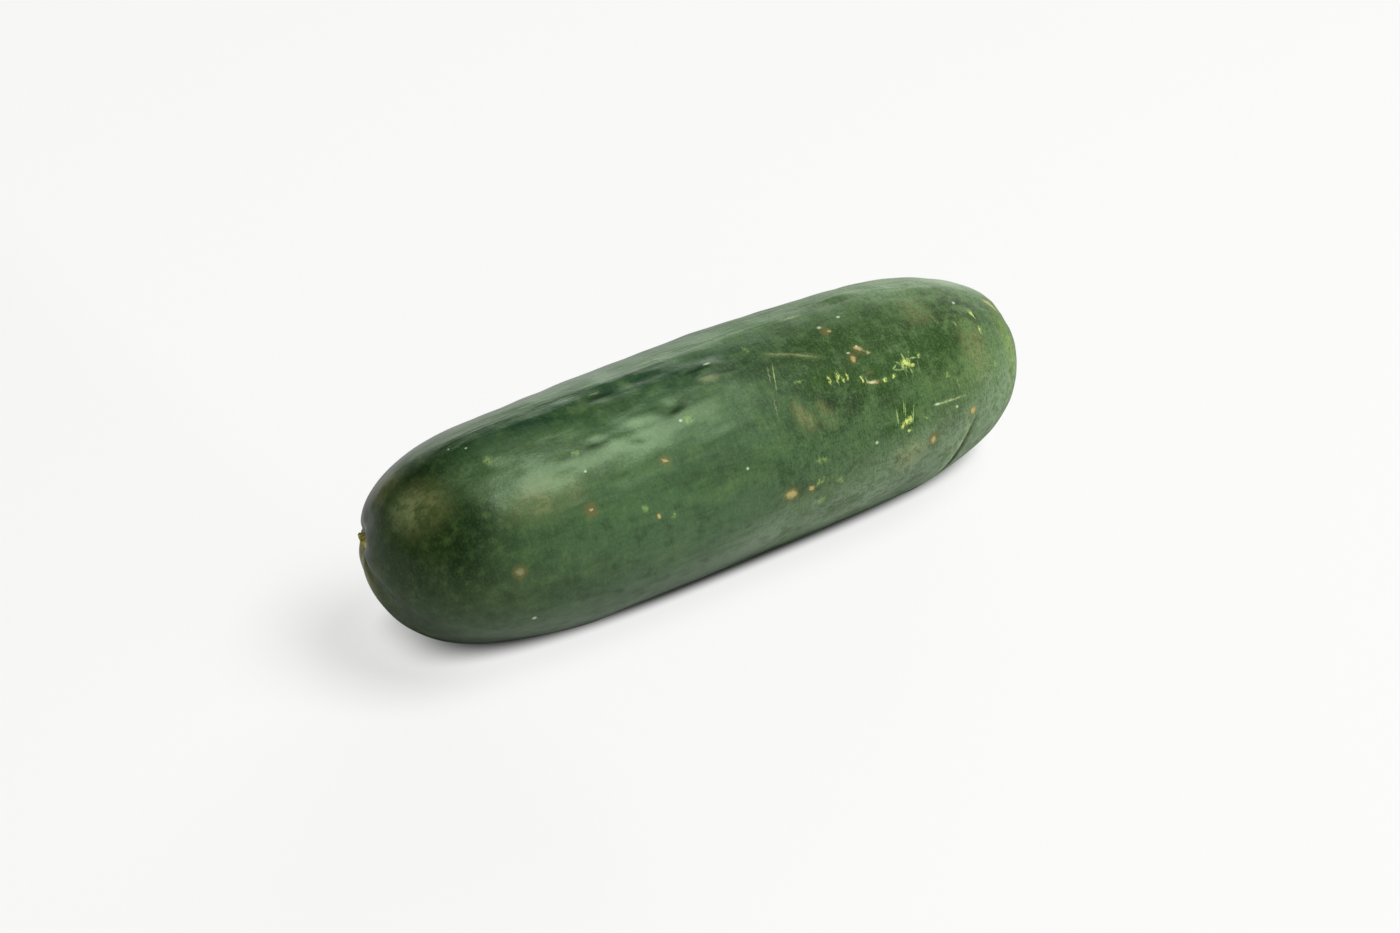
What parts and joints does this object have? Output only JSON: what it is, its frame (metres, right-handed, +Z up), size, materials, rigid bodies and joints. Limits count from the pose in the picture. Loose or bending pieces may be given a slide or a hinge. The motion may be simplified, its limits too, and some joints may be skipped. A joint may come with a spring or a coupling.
{
  "type": "cucumber",
  "caption": "Whole slicing cucumber lying on its side: thick, blunt-ended waxy green fruit with a dimpled, furrowed stem end and a dry stem stub.",
  "frame": {"origin": "bottom centre of the bounding box, on the surface that the cucumber lies on", "axes": "+X along the fruit from the stem end to the blossom end, +Z up, -Y towards the front"},
  "size_m": [0.1882, 0.057, 0.0568],
  "materials": {
    "cucumber_skin": "satin",
    "dry_stem": "matte"
  },
  "bodies": {
    "root": {"cucumber_fruit": "cucumber_skin", "stem_stub": "dry_stem"}
  },
  "joints": []
}
